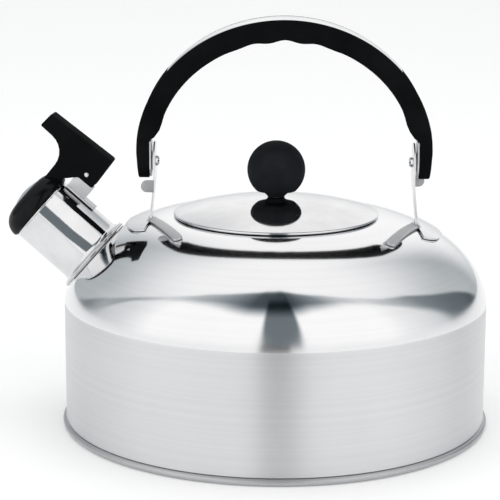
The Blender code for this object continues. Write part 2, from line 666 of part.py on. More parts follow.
def make_discs():
    """The two holed discs that make the whistle: a domed one in front and a flat one at the mouth."""
    front = CAP_FACE - CAP_DEPTH
    ledge = front + CAP_WALL + GAP
    thin = 0.5 * MM
    crown = [WHISTLE_HOLE + (DISC_RADIUS - WHISTLE_HOLE) * i / 5 for i in range(6)]
    face = [(r, front - DISC_CROWN * (1 - (r / DISC_RADIUS) ** 2)) for r in crown]
    back = [(r, u + thin) for r, u in face[:-1]]
    rim = DISC_RADIUS + 2.2 * MM
    outline = back + [(DISC_RADIUS - thin, front + thin), (DISC_RADIUS - thin, ledge + thin)]
    outline += [(rim, ledge + thin), (rim, ledge), (DISC_RADIUS, ledge)]
    outline += list(reversed(face))
    as_part(turned("whistle_disc_outer", outline, SMALL_ROUND), STEEL, LEVER_AXIS)

    seat = CAP_RADIUS - CAP_WALL - GAP
    flat = [(WHISTLE_HOLE, CAP_FACE - 0.1 * MM), (seat, CAP_FACE - 0.1 * MM)]
    flat += [(seat, CAP_FACE - 0.9 * MM), (WHISTLE_HOLE, CAP_FACE - 0.9 * MM)]
    as_part(turned("whistle_disc_inner", flat, SMALL_ROUND), STEEL, LEVER_AXIS)


def make_pin_and_spring():
    half = LEVER_WIDTH / 2 - 0.1 * MM
    outline = [(0, half), (PIN_RADIUS, half), (PIN_RADIUS, -half), (0, -half)]
    pin = turned("hinge_pin", outline, 24, closed=False)
    pin.rotation_euler = (pi / 2, 0, 0)
    as_part(pin, STEEL, LEVER)

    length = STIRRUP_WIDTH - 2 * SHEET - 1.4 * MM
    steps = 12
    count = steps * SPRING_TURNS
    points = [(2.6 * MM, -length / 2, -7.6 * MM)]
    for i in range(count + 1):
        angle = -0.5 * pi + 2 * pi * i / steps
        y = length * (i / count - 0.5)
        points.append((SPRING_RADIUS * cos(angle), y, SPRING_RADIUS * sin(angle)))
    points.append((-4.6 * MM, length / 2, -SPRING_RADIUS))
    curve = bpy.data.curves.new("hinge_spring", "CURVE")
    curve.dimensions = "3D"
    curve.bevel_depth = SPRING_WIRE
    curve.bevel_resolution = 1
    curve.use_fill_caps = True
    spline = curve.splines.new("POLY")
    spline.points.add(len(points) - 1)
    for point, place in zip(spline.points, points):
        point.co = (*place, 1)
    as_part(bpy.data.objects.new("hinge_spring", curve), STEEL, LEVER)


clear_scene()
PARTS = new_collection("whistling_kettle")
CUTTERS = new_collection("cutters")
SIDES = (("left", -1), ("right", 1))

SPOUT_AXIS = empty("spout_axis", on_spout(0, -PIN_TO_AXIS), (0, SPOUT_SLOPE + pi / 2, 0))
LEVER = empty("lever_hinge", on_spout(0, 0), (0, SPOUT_SLOPE, 0))
LEVER_AXIS = empty("cap_axis", on_spout(0, -PIN_TO_AXIS), (0, SPOUT_SLOPE + pi / 2, 0))
LID = empty("lid_seat", (0, 0, DOME_TOP))
HANDLE_FRAME = empty("handle_frame", (0, 0, 0), (0, 0, HANDLE_TURN))
PIVOT = empty("handle_pivot", (HANDLE_X, 0, PIVOT_Z), (0, 0, 0), HANDLE_FRAME)

make_body()
make_base()
make_spout_neck()
for side_name, side_sign in SIDES:
    make_bracket("bracket_" + side_name, side_sign)
    make_rivet("pivot_rivet_" + side_name, side_sign)
    make_washer("pivot_washer_" + side_name, side_sign)
    make_tang("handle_tang_" + side_name, side_sign)
make_grip()
make_strip()
make_lid()
make_knob()
make_sleeve()
make_stirrup()
make_lever()
make_discs()
make_pin_and_spring()
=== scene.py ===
# Looks of the stovetop whistling kettle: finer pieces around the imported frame, finishes, light and camera.

import json
from math import atan2, cos, degrees, pi, radians, sin, sqrt, tan

import bmesh
import bpy
from mathutils import Matrix, Vector


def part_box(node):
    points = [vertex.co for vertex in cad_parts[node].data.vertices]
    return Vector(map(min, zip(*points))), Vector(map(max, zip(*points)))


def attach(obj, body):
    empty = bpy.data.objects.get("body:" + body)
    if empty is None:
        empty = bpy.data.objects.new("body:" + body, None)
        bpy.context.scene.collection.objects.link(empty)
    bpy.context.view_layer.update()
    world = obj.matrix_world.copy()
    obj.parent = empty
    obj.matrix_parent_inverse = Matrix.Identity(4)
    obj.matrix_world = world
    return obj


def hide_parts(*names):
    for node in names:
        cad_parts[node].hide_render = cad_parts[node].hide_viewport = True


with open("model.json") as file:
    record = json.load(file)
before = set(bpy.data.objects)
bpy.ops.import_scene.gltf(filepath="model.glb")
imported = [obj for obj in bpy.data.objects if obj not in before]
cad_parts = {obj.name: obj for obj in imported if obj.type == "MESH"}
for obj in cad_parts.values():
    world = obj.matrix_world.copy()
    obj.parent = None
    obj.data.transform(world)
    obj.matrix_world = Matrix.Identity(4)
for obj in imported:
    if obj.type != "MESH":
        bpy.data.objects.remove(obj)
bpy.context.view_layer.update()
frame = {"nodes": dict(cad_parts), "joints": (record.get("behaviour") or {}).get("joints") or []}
mm = 0.001
print("frame loaded")

# places, all taken from the frame, in millimetres
joints = {joint["name"]: joint for joint in frame["joints"]}
foldPoint = Vector(joints["handle_fold"]["pos_m"]) / mm
foldAxis = Vector(joints["handle_fold"]["axis"])
# the handle stands a little out of the spout's plane
handleTurn = Matrix.Rotation(atan2(foldAxis.y, foldAxis.x), 4, "Z")
pivot = handleTurn.inverted() @ foldPoint
pin = Vector(joints["lever_open"]["pos_m"]) / mm
pullAxis = Vector(joints["whistle_pull"]["axis"]).normalized()
slope = atan2(pullAxis.z, -pullAxis.x)


def boxOf(node):
    low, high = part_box(node)
    return low / mm, high / mm


bodyLow, bodyHigh = boxOf("body_shell")
baseHigh = boxOf("base_pan")[1]
lidHigh = boxOf("lid_shell")[1]
knobLow, knobHigh = boxOf("lid_knob")

sheet = 0.8  # stainless sheet, everywhere
gap = 0.3  # between pieces that touch


# small tools
def arcPoints(centre, radius, start, end, count):
    steps = [radians(start + (end - start) * i / (count - 1)) for i in range(count)]
    return [(centre[0] + radius * cos(t), centre[1] + radius * sin(t)) for t in steps]


def filleted(corners, perCorner=6):
    # corners are (x, y, radius); each is rounded by an arc that touches both sides
    points = []
    for i, (x, y, radius) in enumerate(corners):
        here = Vector((x, y))
        before = (Vector(corners[i - 1][:2]) - here).normalized()
        after = (Vector(corners[(i + 1) % len(corners)][:2]) - here).normalized()
        half = before.angle(after) / 2
        if radius <= 0 or half > radians(89):
            points.append((x, y))
            continue
        centre = here + (before + after).normalized() * radius / sin(half)
        first = here + before * radius / tan(half) - centre
        last = here + after * radius / tan(half) - centre
        for k in range(perCorner + 1):
            share = k / perCorner
            ray = (first * sin((1 - share) * (pi / 2 - half) * 2) + last * sin(share * (pi / 2 - half) * 2))
            points.append(tuple(centre + ray.normalized() * radius))
    return points


def meshObject(name, mesh):
    made = bpy.data.objects.new(name, mesh)
    bpy.context.scene.collection.objects.link(made)
    return made


def settled(obj, weld=0.001):
    # the object with its modifiers applied, as a plain mesh with the same name
    bpy.context.view_layer.update()
    graph = bpy.context.evaluated_depsgraph_get()
    mesh = bpy.data.meshes.new_from_object(obj.evaluated_get(graph), depsgraph=graph)
    name = obj.name
    bpy.data.objects.remove(obj, do_unlink=True)
    work = bmesh.new()
    work.from_mesh(mesh)
    bmesh.ops.remove_doubles(work, verts=work.verts, dist=weld)
    bmesh.ops.dissolve_degenerate(work, dist=weld, edges=work.edges)
    bmesh.ops.recalc_face_normals(work, faces=work.faces)
    work.to_mesh(mesh)
    work.free()
    made = meshObject(name, mesh)
    mesh.name = name
    return made


def turned(name, outline, sides=192, closed=True):
    # outline is (radius, height) down the outer side
    mesh = bpy.data.meshes.new(name)
    edges = [(i, i + 1) for i in range(len(outline) - 1)]
    if closed:
        edges.append((len(outline) - 1, 0))
    mesh.from_pydata([(r, 0, z) for r, z in outline], edges, [])
    made = meshObject(name, mesh)
    spin = made.modifiers.new("turn", "SCREW")
    spin.steps = spin.render_steps = sides
    spin.use_merge_vertices = True
    spin.merge_threshold = 0.001
    return settled(made)


def plate(name, outline, thickness, place=None):
    curve = bpy.data.curves.new(name, "CURVE")
    curve.dimensions = "2D"
    curve.fill_mode = "BOTH"
    curve.extrude = thickness / 2
    spline = curve.splines.new("POLY")
    spline.points.add(len(outline) - 1)
    for point, (x, y) in zip(spline.points, outline):
        point.co = (x, y, 0, 1)
    spline.use_cyclic_u = True
    made = settled(meshObject(name, curve), 0.0005)
    if place:
        made.data.transform(place)
    return made


def combine(obj, other, operation="DIFFERENCE"):
    step = obj.modifiers.new(operation.lower(), "BOOLEAN")
    step.operation = operation
    step.object = other
    step.solver = "EXACT"
    made = settled(obj, 0.0005)
    bpy.data.objects.remove(other, do_unlink=True)
    return made


def softened(obj, width, segments=3, angle=40):
    step = obj.modifiers.new("edges", "BEVEL")
    step.width = width
    step.segments = segments
    step.limit_method = "ANGLE"
    step.angle_limit = radians(angle)
    step.harden_normals = False
    return settled(obj, 0.0005)


def rod(name, radius, start, end, place=None, sides=64, edge=0.0):
    outline = [
        (0, end), (radius - edge, end), (radius, end - edge), (radius, start + edge), (radius - edge, start),
        (0, start)
    ]
    if edge == 0:
        outline = [(0, end), (radius, end), (radius, start), (0, start)]
    made = turned(name, outline, sides, closed=False)
    if place:
        made.data.transform(place)
    return made


def finishPiece(obj, body, nodes, finish, sharp=38):
    # millimetres become metres here, and the piece takes its finish and rides on its body
    obj.data.transform(Matrix.Scale(mm, 4))
    obj.data.shade_smooth()
    obj.data.set_sharp_from_angle(angle=radians(sharp))
    obj.data.materials.clear()
    obj.data.materials.append(finish)
    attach(obj, body)
    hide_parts(*nodes)
    return obj


sideView = Matrix.Rotation(pi / 2, 4, "X")  # an XY outline stands up in XZ
endView = Matrix(((0, 0, 1, 0), (1, 0, 0, 0), (0, 1, 0, 0), (0, 0, 0, 1)))  # XY becomes YZ
hingeFrame = Matrix.Translation(pin) @ Matrix.Rotation(slope, 4, "Y")  # x = u, z = n


class Value:
    # a socket that takes part in sums
    def __init__(self, tree, socket):
        self.tree = tree
        self.socket = socket

    def sum(self, operation, other=None, swap=False):
        parts = [self] if other is None else [other, self] if swap else [self, other]
        made = self.tree.node("ShaderNodeMath", {"operation": operation}, dict(enumerate(parts)))
        return Value(self.tree, made.outputs[0])

    def __add__(self, other):
        return self.sum("ADD", other)

    def __sub__(self, other):
        return self.sum("SUBTRACT", other)

    def __rsub__(self, other):
        return self.sum("SUBTRACT", other, swap=True)

    def __mul__(self, other):
        return self.sum("MULTIPLY", other)

    def __truediv__(self, other):
        return self.sum("DIVIDE", other)

    def __pow__(self, other):
        return self.sum("POWER", other)

    def __abs__(self):
        return self.sum("ABSOLUTE")

    __radd__ = __add__
    __rmul__ = __mul__

    def step(self, start, end):
        # 0 below start, 1 above end, smooth between; end may lie below start
        made = self.tree.node(
            "ShaderNodeMapRange",
            {"interpolation_type": "SMOOTHSTEP", "clamp": True},
            {"Value": self, "From Min": start, "From Max": end},
        )
        return Value(self.tree, made.outputs[0])


class Tree:
    def __init__(self, owner):
        owner.use_nodes = True
        self.nodes = owner.node_tree.nodes
        self.links = owner.node_tree.links

    def node(self, kind, settings=None, sockets=None):
        made = self.nodes.new(kind)
        for name, value in (settings or {}).items():
            if name == "stops":
                self.setStops(made.color_ramp, value)
            else:
                setattr(made, name, value)
        for name, value in (sockets or {}).items():
            self.feed(made.inputs[name], value)
        return made

    def setStops(self, ramp, stops):
        while len(ramp.elements) < len(stops):
            ramp.elements.new(1)
        for element, (place, grey) in zip(ramp.elements, stops):
            element.position = place
            element.color = (grey, grey, grey, 1)

    def feed(self, socket, value):
        if isinstance(value, Value):
            self.links.new(value.socket, socket)
        elif isinstance(value, bpy.types.NodeSocket):
            self.links.new(value, socket)
        else:
            socket.default_value = value

    def value(self, kind, settings=None, sockets=None, output=0):
        return Value(self, self.node(kind, settings, sockets).outputs[output])

    def place(self):
        # the row frame's own x, y and z in metres
        coordinates = self.node("ShaderNodeTexCoord").outputs["Object"]
        split = self.node("ShaderNodeSeparateXYZ", None, {0: coordinates})
        return coordinates, [Value(self, split.outputs[i]) for i in range(3)]

    def noise(self, vector, scale, detail=3, roughness=0.5, settings=None):
        sockets = {"Vector": vector, "Scale": scale, "Detail": detail, "Roughness": roughness}
        return self.value("ShaderNodeTexNoise", settings, sockets)

    def rings(self, along, scale, detail=3):
        # fine lines that change along one direction only
        settings = {"noise_dimensions": "1D"}
        return self.value("ShaderNodeTexNoise", settings, {"W": along, "Scale": scale, "Detail": detail})

    def tint(self, mask, dark, light):
        first, second = [(*tone, 1) if isinstance(tone, tuple) else tone for tone in (dark, light)]
        made = self.node("ShaderNodeMix", {"data_type": "RGBA"}, {0: mask, 6: first, 7: second})
        return made.outputs[2]

    def bump(self, height, strength, distance):
        sockets = {"Height": height, "Strength": strength, "Distance": distance}
        return self.node("ShaderNodeBump", None, sockets).outputs[0]


def newFinish(name, sockets):
    made = bpy.data.materials.new(name)
    tree = Tree(made)
    shader = tree.nodes["Principled BSDF"]
    for socket, value in sockets.items():
        tree.feed(shader.inputs[socket], value)
    return made, tree, shader


steelTones = {"dull": (0.66, 0.665, 0.675), "bright": (0.76, 0.765, 0.775)}


def makeMirrorSteel(name, gloss=0.05, smear=0.035):
    # polished sheet: faint wipe marks change its gloss, and the polish leaves hair lines
    made, tree, shader = newFinish(name, {"Metallic": 1.0})
    spot, (x, y, z) = tree.place()
    cloudy = tree.noise(spot, 38, 4, 0.6)
    hair = tree.noise(spot, 900, 2, 0.7)
    tree.feed(
        shader.inputs["Base Color"], tree.tint(cloudy.step(0.3, 0.7), steelTones["dull"], steelTones["bright"])
    )
    tree.feed(shader.inputs["Roughness"], gloss + smear * cloudy.step(0.45, 0.75) + 0.012 * hair)
    tree.feed(shader.inputs["Normal"], tree.bump(hair, 0.04, 0.0002))
    return made


bodyFinish = {
    "polishFrom": 65.2, "polishTo": 66.0, "wallGloss": 0.40, "domeGloss": 0.055,
    "shoulderGloss": 0.20, "shoulderLow": 67, "shoulderHigh": 80,
    # the dome's tones are set lighter than the wall's: painted light on the polished top
    "wallTones": ((0.70, 0.705, 0.715), (0.76, 0.765, 0.775)), "domePaintedLightTones": (
        (0.78, 0.785, 0.795), (0.82, 0.825, 0.835)
    ),
}


def makeBodySteel():
    # one sheet: mirror-polished dome, and a wall with a satin grain that runs round it
    made, tree, shader = newFinish(
        "bodySteel", {"Metallic": 1.0, "Anisotropic": 0.9, "Anisotropic Rotation": 0.25}
    )
    spot, (x, y, z) = tree.place()
    satin = 1 - z.step(bodyFinish["polishFrom"] * mm, bodyFinish["polishTo"] * mm)
    shoulder = 1 - z.step(bodyFinish["shoulderLow"] * mm, bodyFinish["shoulderHigh"] * mm)
    angle = y.sum("ARCTAN2", x)
    grain = tree.rings(z + 0.00002 * angle, 9000, 4)
    wide = tree.rings(z, 420, 2)
    cloudy = tree.noise(spot, 16, 4, 0.55)
    hair = tree.noise(spot, 700, 2, 0.7)
    shade = cloudy.step(0.25, 0.75) * 0.6 + wide.step(0.3, 0.7) * 0.4
    # the dome takes lighter tones than the wall of the same sheet: painted light that makes the polished top
    # brighter
    tones = tree.tint(
        satin, tree.tint(shade, *bodyFinish["domePaintedLightTones"]), tree.tint(shade, *bodyFinish["wallTones"])
    )
    tree.feed(shader.inputs["Base Color"], tones)
    wall = bodyFinish["wallGloss"] + 0.06 * (grain - 0.5)
    gloss, shoulderGloss = bodyFinish["domeGloss"], bodyFinish["shoulderGloss"]
    dome = gloss + (shoulderGloss - gloss) * shoulder + 0.02 * cloudy
    tree.feed(shader.inputs["Roughness"], satin * wall + (1 - satin) * dome)
    height = satin * grain + (1 - satin) * 0.04 * hair
    tree.feed(shader.inputs["Normal"], tree.bump(height, 0.10, 0.00006))
    return made


def makeSatinSteel(name, gloss=0.30, dark=0.60, light=0.70):
    # sheet with a dull directionless finish
    made, tree, shader = newFinish(name, {"Metallic": 1.0})
    spot, (x, y, z) = tree.place()
    cloudy = tree.noise(spot, 60, 4, 0.6)
    grain = tree.noise(spot, 2600, 3, 0.8)
    tree.feed(
        shader.inputs["Base Color"],
        tree.tint(cloudy, (dark, dark + 0.005, dark + 0.015), (light, light + 0.005, light + 0.015))
    )
    tree.feed(shader.inputs["Roughness"], gloss + 0.10 * grain + 0.05 * cloudy)
    tree.feed(shader.inputs["Normal"], tree.bump(grain, 0.12, 0.00004))
    return made


def makeBlack(name, tone, gloss, shine, grainScale, grainDepth):
    # moulded phenolic: fine mould texture under a thin skin, and handled places a little shinier
    made, tree, shader = newFinish(name, {"Specular IOR Level": 0.0, "Coat Roughness": gloss})
    spot, (x, y, z) = tree.place()
    grain = tree.noise(spot, grainScale, 3, 0.7)
    rubbed = tree.noise(spot, 45, 3, 0.6)
    low = tuple(part * 0.75 for part in tone)
    high = tuple(part * 1.3 for part in tone)
    tree.feed(shader.inputs["Base Color"], tree.tint(rubbed.step(0.25, 0.75), low, high))
    tree.feed(shader.inputs["Roughness"], gloss + 0.10 * grain - 0.08 * rubbed.step(0.5, 0.8))
    tree.feed(shader.inputs["Coat Weight"], shine * (0.8 + 0.4 * rubbed.step(0.4, 0.8)))
    tree.feed(shader.inputs["Normal"], tree.bump(grain, grainDepth, 0.00005))
    return made


def makeBrass():
    made, tree, shader = newFinish("turnedBrass", {"Metallic": 1.0})
    spot, (x, y, z) = tree.place()
    cut = tree.rings(z, 5000, 2)
    tree.feed(shader.inputs["Base Color"], tree.tint(cut, (0.62, 0.45, 0.20), (0.78, 0.60, 0.32)))
    tree.feed(shader.inputs["Roughness"], 0.22 + 0.12 * cut)
    tree.feed(shader.inputs["Normal"], tree.bump(cut, 0.2, 0.00004))
    return made


bodySteel = makeBodySteel()
mirrorSteel = makeMirrorSteel("mirrorSteel")
fineMirror = makeMirrorSteel("fineMirrorSteel", 0.035, 0.02)
satinSteel = makeSatinSteel("satinSteel")
dullSteel = makeSatinSteel("dullSteel", 0.40)
# the uprights' near-white tone is a painted highlight: the bracket steel made lighter to stand in for the white it
# reflects
paintedHighlightSteel = makeSatinSteel("paintedHighlightSteel", 0.24, 0.86, 0.92)
# the tabs' dark grey tone is painted shade; their higher roughness is their duller finish
tabSteelPaintedShade = makeSatinSteel("tabSteelPaintedShade", 0.45, 0.42, 0.46)
rimSteel = makeSatinSteel("rimSteel", 0.34, 0.46, 0.54)
blackPhenolic = makeBlack("blackPhenolic", (0.0052, 0.0056, 0.0062), 0.35, 0.05, 1600, 0.10)
blackCap = makeBlack("blackCap", (0.0044, 0.0052, 0.0058), 0.16, 0.30, 1400, 0.08)
blackLever = makeBlack("blackLever", (0.0048, 0.0056, 0.0062), 0.40, 0.08, 1400, 0.08)
blackKnob = makeBlack("blackKnob", (0.0112, 0.0132, 0.0152), 0.45, 0.12, 2200, 0.20)
brass = makeBrass()
print("finishes made")

body = {
    "sides": 256, "rows": 64, "radius": bodyHigh.x, "wallTop": 64.5, "top": bodyHigh.z,
    "centreRadius": 47, "power": 1.9,
    "mouth": 48, "curl": 3.6, "wallLow": bodyLow.z, "pressSoft": 0.9, "spigot": 15.6, "clearance": 0.4,
}
spout = {"toAxis": 31.0, "mouth": -6.5, "flange": 29.1, "neck": 30.2, "facet": 31.3, "length": 11}


def domeHeight(radius):
    share = max(radius - body["centreRadius"], 0) / (body["radius"] - body["centreRadius"])
    rise = max(1 - share ** body["power"], 0) ** (1 / body["power"])
    return body["wallTop"] + (body["top"] - body["wallTop"]) * rise


def onSpout(u, n, y=0.0):
    return Vector((pin.x + u * cos(slope) + n * sin(slope), y, pin.z - u * sin(slope) + n * cos(slope)))


spoutFrame = Matrix.Translation(onSpout(0, -spout["toAxis"])) @ Matrix.Rotation(slope + pi / 2, 4, "Y")


def makeBody():
    width = body["radius"] - body["centreRadius"]
    rise = body["top"] - body["wallTop"]
    share = 2 / body["power"]
    lip = body["mouth"]
    outline = [(lip, body["top"] - body["curl"]), (lip, body["top"] - 1.6)]
    outline += arcPoints((lip + 1.6, body["top"] - 1.6), 1.6, 180, 90, 7)[1:]
    first = (3.0 / width) ** (1 / share)
    for i in range(body["rows"] + 1):
        turn = first + (1 - first) * i / body["rows"]
        turn = turn * pi / 2
        outline.append(
            (body["centreRadius"] + width * sin(turn) ** share, body["wallTop"] + rise * max(cos(turn), 0) ** share)
        )
    rows = 12
    outline += [
        (body["radius"], body["wallTop"] + (body["wallLow"] - body["wallTop"]) * i / rows)
        for i in range(1, rows + 1)
    ]
    shell = turned("body_sheet", outline, body["sides"], closed=False)
    origin = onSpout(spout["facet"], -spout["toAxis"])
    for vert in shell.data.vertices:
        beyond = (vert.co - origin).dot(pullAxis)
        pressed = (beyond + sqrt(beyond**2 + body["pressSoft"] ** 2)) / 2
        if beyond > -6:
            vert.co -= pullAxis * max(pressed - body["pressSoft"] ** 2 / 24, 0)
    skin = shell.modifiers.new("skin", "SOLIDIFY")
    skin.thickness = sheet
    skin.offset = -1
    shell = settled(shell)
    hole = body["spigot"] + body["clearance"] + sheet + gap
    shell = combine(shell, rod("hole", hole, spout["facet"] - 6, spout["facet"] + 9, spoutFrame, 96))
    finishPiece(shell, "kettle", ["body_shell"], bodySteel, 40)


def makeBase():
    wall = body["radius"]
    inner = wall - sheet - gap
    high = body["wallLow"] - gap
    bead = high / 2
    outline = [(0, 1.0), (60, 1.0), (60.6, 1.35), (72, 1.35), (72.6, 1.0), (inner - 3.2, 1.0)]
    outline += arcPoints((inner - 3.2, 3.4), 2.4, -90, 0, 8)[1:]
    outline += [(inner - sheet, 9), (inner, 9), (inner, high)]
    outline += arcPoints((baseHigh.x - bead, bead), bead, 90, -90, 13)
    outline += [(inner - 1, 0), (inner - 1.6, 0.25), (0, 0.25)]
    finishPiece(turned("base_rim", outline, 256, closed=False), "kettle", ["base_pan"], rimSteel)


def flangeRim(radius, low, high):
    middle = (low + high) / 2
    return arcPoints((radius - (high - low) / 2, middle), (high - low) / 2, 90, -90, 7)


whistle = {"radius": 18.6, "flangeRadius": 21.9, "fillet": 2.6}


def makeNeck():
    inner = body["spigot"] + body["clearance"]
    low, high = spout["neck"], spout["neck"] + sheet
    inside = spout["facet"] + spout["length"]
    outline = [
        (inner, inside), (inner + sheet, inside), (inner + sheet, high + 0.1), (inner + sheet + 0.1, high)
    ]
    outline += flangeRim(whistle["flangeRadius"], low, high) + [(inner + 1.2, low), (inner, low + 0.5)]
    neck = turned("spout_collar", outline, 160)
    neck.data.transform(spoutFrame)
    finishPiece(neck, "kettle", ["spout_neck"], rimSteel)


def makeSleeve():
    radius = whistle["radius"]
    inner = body["spigot"]
    low, high = spout["flange"], spout["flange"] + sheet
    end = spout["facet"] + spout["length"] - 1
    bend = whistle["fillet"]
    outline = [(inner - sheet, end), (inner, end), (inner, high)] + flangeRim(
        whistle["flangeRadius"], low, high
    )
    outline += arcPoints((radius + bend, low - bend), bend, 90, 180, 9)
    outline += [
        (radius, 14), (radius, 2), (radius, spout["mouth"] + 1.1), (radius + 0.35, spout["mouth"] + 0.75)
    ]
    outline += arcPoints((radius - 0.05, spout["mouth"] + 0.4), 0.4, 0, -150, 7)
    outline += [(radius - sheet, spout["mouth"] + 0.9), (radius - sheet, low - sheet), (inner - sheet, low)]
    sleeve = turned("whistle_tube", outline, 160)
    sleeve.data.transform(spoutFrame)
    finishPiece(sleeve, "whistle", ["whistle_sleeve"], fineMirror)


cap = {
    "radius": 19.8, "face": -6.8, "depth": 10.4, "wall": 1.7, "opening": 10.7, "discRadius": 10.2, "crown": 2.0,
    "hole": 1.8
}


def makeCap():
    front = cap["face"] - cap["depth"]
    rim = cap["face"] - 1.2
    outline = [
        (cap["radius"] - cap["wall"], cap["face"]), (cap["radius"] - 0.9, cap["face"]),
        (cap["radius"] - 0.3, cap["face"] - 0.3)
    ]
    for i in range(17):
        turn = pi / 2 * i / 16
        outline.append((cap["radius"] * (0.5 + 0.5 * cos(turn)), rim + (front - rim) * sin(turn)))
    outline[-1] = (cap["radius"] * 0.55, front)
    outline += [
        (cap["opening"] + 0.5, front), (cap["opening"], front + 0.4), (cap["opening"], front + cap["wall"])
    ]
    inner = cap["radius"] - cap["wall"] - 1.4
    outline += [(inner - 1.5, front + cap["wall"]), (inner, front + 2.6 * cap["wall"])]
    outline += [(inner, cap["face"] - 2 * sheet), (cap["radius"] - cap["wall"], cap["face"] - 2 * sheet)]
    shape = turned("whistle_cap", outline, 128)
    shape.data.transform(spoutFrame)
    finishPiece(shape, "lever", ["whistle_lever"], blackCap, 50)


lever = {"width": 9.8, "slot": 7.2, "reach": 34.8, "top": 14.8, "edge": 0.9}


def makeLeverArm():
    top, reach = lever["top"], lever["reach"]
    corners = [
        (-reach, 3.9, 0.9), (-16.3, 3.6, 11.0), (-15.7, -14.5, 3.0), (-15.2, -23, 0), (-8.3, -23, 0),
        (-8.3, -10.2, 1.4)
    ]
    corners += [(-2.6, -3.8, 2.2), (6.8, -3.5, 1.2), (5.7, top, 1.3), (0.5 - reach, top - 2.6, 1.0)]
    arm = plate("finger_lever", filleted(corners), lever["width"], sideView)
    arm = softened(arm, lever["edge"], 4, 55)
    slot = [(-6.6, -13), (14, -13), (14, 5), (-6.6, 5)]
    arm = combine(arm, plate("slot", slot, lever["slot"], sideView))
    turnAcross = Matrix.Rotation(pi / 2, 4, "X")
    arm = combine(arm, rod("bore", 1.5, -8, 8, turnAcross, 48))
    arm.data.transform(hingeFrame)
    finishPiece(arm, "lever", ["whistle_lever"], blackLever, 45)


def makeDiscs():
    front = cap["face"] - cap["depth"]
    radius, hole, crown = cap["discRadius"], cap["hole"], cap["crown"]
    steps = 14
    face = [(hole + (radius - hole) * i / steps, 0) for i in range(steps + 1)]
    face = [(r, front - crown * (1 - (r / radius) ** 2)) for r, _ in face]
    face[0] = (hole, face[1][1] + 0.35)
    back = [(r, u + 0.5) for r, u in face[:-1]]
    ledge = front + cap["wall"] + gap
    rim = [(radius - 0.5, front + 0.5), (radius - 0.5, ledge + 0.5), (radius + 2.2, ledge + 0.5)]
    rim += [(radius + 2.2, ledge), (radius + 0.2, ledge), (radius, ledge - 0.2), (radius, front + 0.2)]
    outer = turned("whistle_face_disc", back + rim + list(reversed(face)), 96)
    outer.data.transform(spoutFrame)
    finishPiece(outer, "lever", ["whistle_disc_outer"], mirrorSteel, 50)

    seat = cap["radius"] - cap["wall"] - gap
    high, low = cap["face"] - 0.1, cap["face"] - 0.9
    outline = [
        (hole, high), (seat * 0.72, high), (seat * 0.76, high - 0.25), (seat * 0.9, high - 0.25),
        (seat * 0.93, high)
    ]
    outline += [(seat - 0.2, high), (seat, high - 0.2), (seat, low), (hole, low)]
    inner = turned("whistle_seat_disc", outline, 96)
    inner.data.transform(spoutFrame)
    finishPiece(inner, "lever", ["whistle_disc_inner"], satinSteel, 50)


hinge = {
    "width": 6.4, "front": -4.2, "back": 7.3, "strapEnd": 14.8, "lean": -4.2, "topRadius": 3.0, "pinRadius": 1.3
}


def makeHingeBracket():
    base = whistle["radius"] + gap - spout["toAxis"]
    front, back = hinge["front"], hinge["back"]
    top = arcPoints((0, 0), hinge["topRadius"], 0, 180, 17)
    cheek = [(front, base), (back, base), (back, hinge["lean"])] + top + [(front, -3)]
    made = plate("sleeve_stirrup", cheek, hinge["width"], sideView)
    inside = [(-20, base + sheet), (20, base + sheet), (20, 20), (-20, 20)]
    made = combine(made, plate("inside", inside, hinge["width"] - 2 * sheet, sideView))
    strap = [(front, base), (hinge["strapEnd"], base), (hinge["strapEnd"], base + sheet), (front, base + sheet)]
    made = combine(made, plate("strap", strap, hinge["width"] + 1.5, sideView), "UNION")
    made = combine(made, rod("bore", hinge["pinRadius"] + 0.2, -8, 8, Matrix.Rotation(pi / 2, 4, "X"), 48))
    made = softened(made, 0.15, 2, 60)
    made.data.transform(hingeFrame)
    finishPiece(made, "whistle", ["hinge_bracket"], satinSteel)


def makeHingePin():
    half = lever["width"] / 2 - 0.1
    radius = hinge["pinRadius"]
    outline = [(0, half), (radius * 0.5, half - 0.02), (radius * 0.85, half - 0.12), (radius, half - 0.35)]
    outline += [(r, -z) for r, z in reversed(outline)]
    made = turned("lever_pin", outline, 48, closed=False)
    made.data.transform(hingeFrame @ Matrix.Rotation(pi / 2, 4, "X"))
    finishPiece(made, "whistle", ["hinge_pin"], mirrorSteel)


lid = {
    "radius": lidHigh.x, "seat": body["top"], "crown": lidHigh.z - body["top"], "edge": 1.2, "screwHole": 2.3
}


def lidHeight(radius):
    return lid["seat"] + lid["crown"] - (lid["crown"] - lid["edge"]) * (radius / lid["radius"]) ** 2


def makeLid():
    hole, edge = lid["screwHole"], lid["radius"]
    steps = 40
    radii = [hole + (edge - 0.9 - hole) * i / steps for i in range(steps + 1)]
    top = [(r, lidHeight(r)) for r in radii]
    bead = 0.62
    rim = arcPoints((edge - bead, lid["seat"] + 0.1 + bead), bead, 62, -90, 11)
    lip = edge - 1.6
    rim += [(lip, lid["seat"] + 0.1), (lip, lidHeight(lip) - sheet)]
    under = [(r, lidHeight(r) - sheet) for r in reversed(radii[:-1]) if r < lip - 0.5]
    made = turned("lid_dome", top + rim + under, 256)
    finishPiece(made, "lid", ["lid_shell"], mirrorSteel, 50)


def makeSkirt():
    outer = body["mouth"] - 0.6
    high = lidHeight(outer) - sheet - gap
    outline = [(outer - 4, high), (outer - 0.8, high)] + arcPoints((outer - 0.8, high - 0.8), 0.8, 80, 0, 5)
    outline += [(outer, high - 8.4)] + arcPoints((outer - 0.4, high - 8.6), 0.4, 0, -180, 7)
    outline += [(outer - sheet, high - 1.3), (outer - 1.4, high - sheet), (outer - 4, high - sheet)]
    finishPiece(turned("lid_plug", outline, 192), "lid", ["lid_skirt"], satinSteel)


knob = {"radius": (knobHigh.x - knobLow.x) / 2, "flat": 10.3, "insert": 4.2, "depth": 10.3, "partLine": 0.06}


